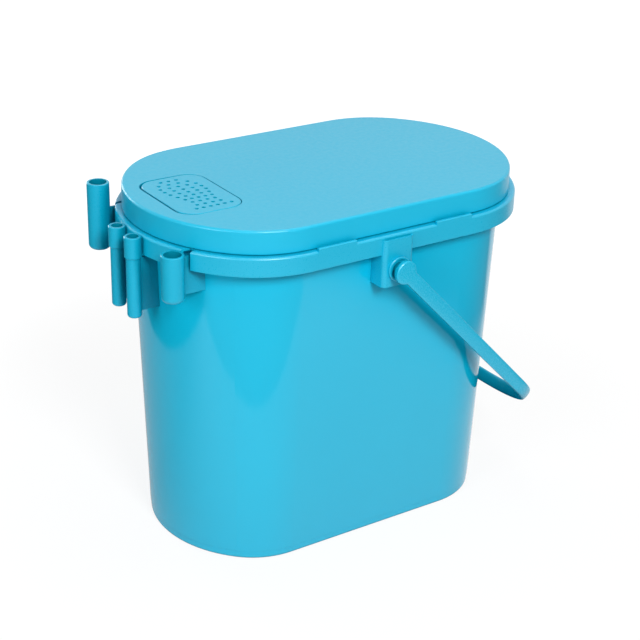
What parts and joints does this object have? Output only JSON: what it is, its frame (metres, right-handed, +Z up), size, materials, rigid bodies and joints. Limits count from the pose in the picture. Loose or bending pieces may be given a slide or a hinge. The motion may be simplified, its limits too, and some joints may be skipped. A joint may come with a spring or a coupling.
{
  "type": "live bait bucket",
  "caption": "Lidded oblong tub with swing bail handle, rod-holder tubes on one end and a pierced spring drop flap in the lid.",
  "frame": {"origin": "centre of the tub's base, on the plane it stands on", "axes": "+X along the tub's long side towards the end the bail hangs over, away from the rod tubes; +Y towards the tall rod tube's side; +Z up"},
  "size_m": [0.3794, 0.2516, 0.3009],
  "materials": {
    "tub_plastic": "smooth moulded turquoise plastic with a soft gloss",
    "lid_plastic": "smooth moulded turquoise plastic, slightly satin on the top",
    "handle_plastic": "smooth moulded turquoise plastic with a soft gloss",
    "pin_steel": "plain drawn wire"
  },
  "bodies": {
    "bucket": {"tub": "tub_plastic", "rim": "tub_plastic", "rod_tube_near": "tub_plastic", "rod_tube_far": "tub_plastic", "tip_tube_near": "tub_plastic", "tip_tube_far": "tub_plastic", "handle_lug_front": "tub_plastic", "handle_lug_rear": "tub_plastic", "pivot_collar_front": "tub_plastic", "pivot_collar_rear": "tub_plastic"},
    "handle": {"bail": "handle_plastic", "pivot_stud_front": "handle_plastic", "pivot_stud_rear": "handle_plastic"},
    "lid": {"lid": "lid_plastic", "flap_hinge_pin": "pin_steel", "flap_spring_near": "pin_steel", "flap_spring_far": "pin_steel"},
    "flap": {"flap": "lid_plastic"}
  },
  "joints": [
    {"name": "handle_swing", "type": "hinge", "parent": "bucket", "child": "handle", "pos_m": [0, 0, 0.252], "axis": [0, -1, 0], "range_deg": [-7, 270]},
    {"name": "lid_lift", "type": "slide", "parent": "bucket", "child": "lid", "axis": [0, 0, 1], "range_m": [0, 0.1]},
    {"name": "flap_push", "type": "hinge", "parent": "lid", "child": "flap", "pos_m": [-0.092, 0, 0.2924], "axis": [0, -1, 0], "range_deg": [0, 80], "stiffness_Nm_per_rad": 0.015, "springref_deg": -57.3, "deforming": ["flap_spring_near", "flap_spring_far"]}
  ]
}
